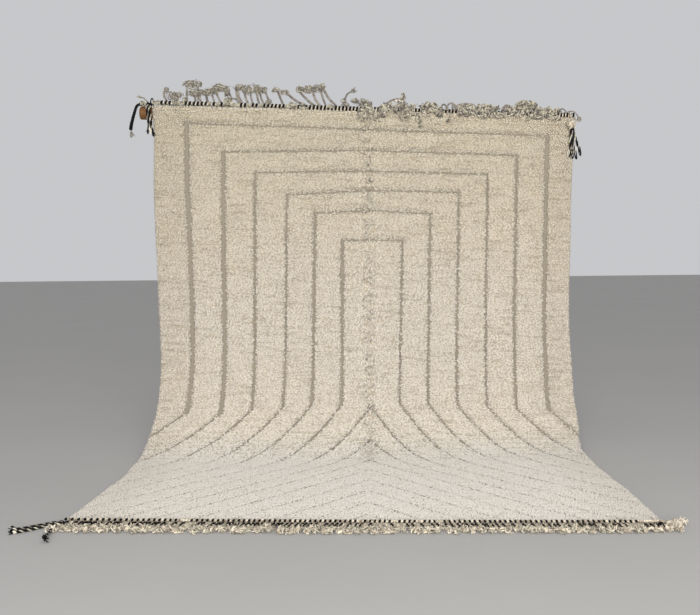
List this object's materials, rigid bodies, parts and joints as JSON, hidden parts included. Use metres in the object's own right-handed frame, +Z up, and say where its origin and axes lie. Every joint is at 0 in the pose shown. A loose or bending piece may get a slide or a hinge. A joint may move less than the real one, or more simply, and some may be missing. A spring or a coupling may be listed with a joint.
{
  "type": "beni ourain rug on a wooden pole",
  "caption": "Cream wool pile rug with carved nested arches and chevrons, twined edgings, fringes and corner tassels, hung over a round wooden pole and swept forward onto the floor.",
  "frame": {"origin": "on the floor under the middle of the whole thing's box, under the flat stretch of the rug", "axes": "+X across the rug to its right as it is seen, +Y away from the viewer towards the pole, +Z up"},
  "size_m": [2.8535, 1.8878, 2.1535],
  "materials": {
    "wool_pile": "matte cut wool pile",
    "fringe_wool": "matte loose wool yarn",
    "twined_edging": "black and white twined yarn",
    "dark_braid": "black and white plied yarn",
    "pole_wood": "oiled round wood"
  },
  "bodies": {
    "root": {"rug": "wool_pile", "pole": "pole_wood", "top_edging": "twined_edging", "front_edging": "twined_edging", "top_fringe": "fringe_wool", "front_fringe": "fringe_wool", "tassel_top_left": "dark_braid", "tassel_pole_end": "dark_braid", "tassel_top_right": "fringe_wool", "tassel_front_left": "dark_braid", "tassel_front_right": "fringe_wool"}
  },
  "joints": []
}
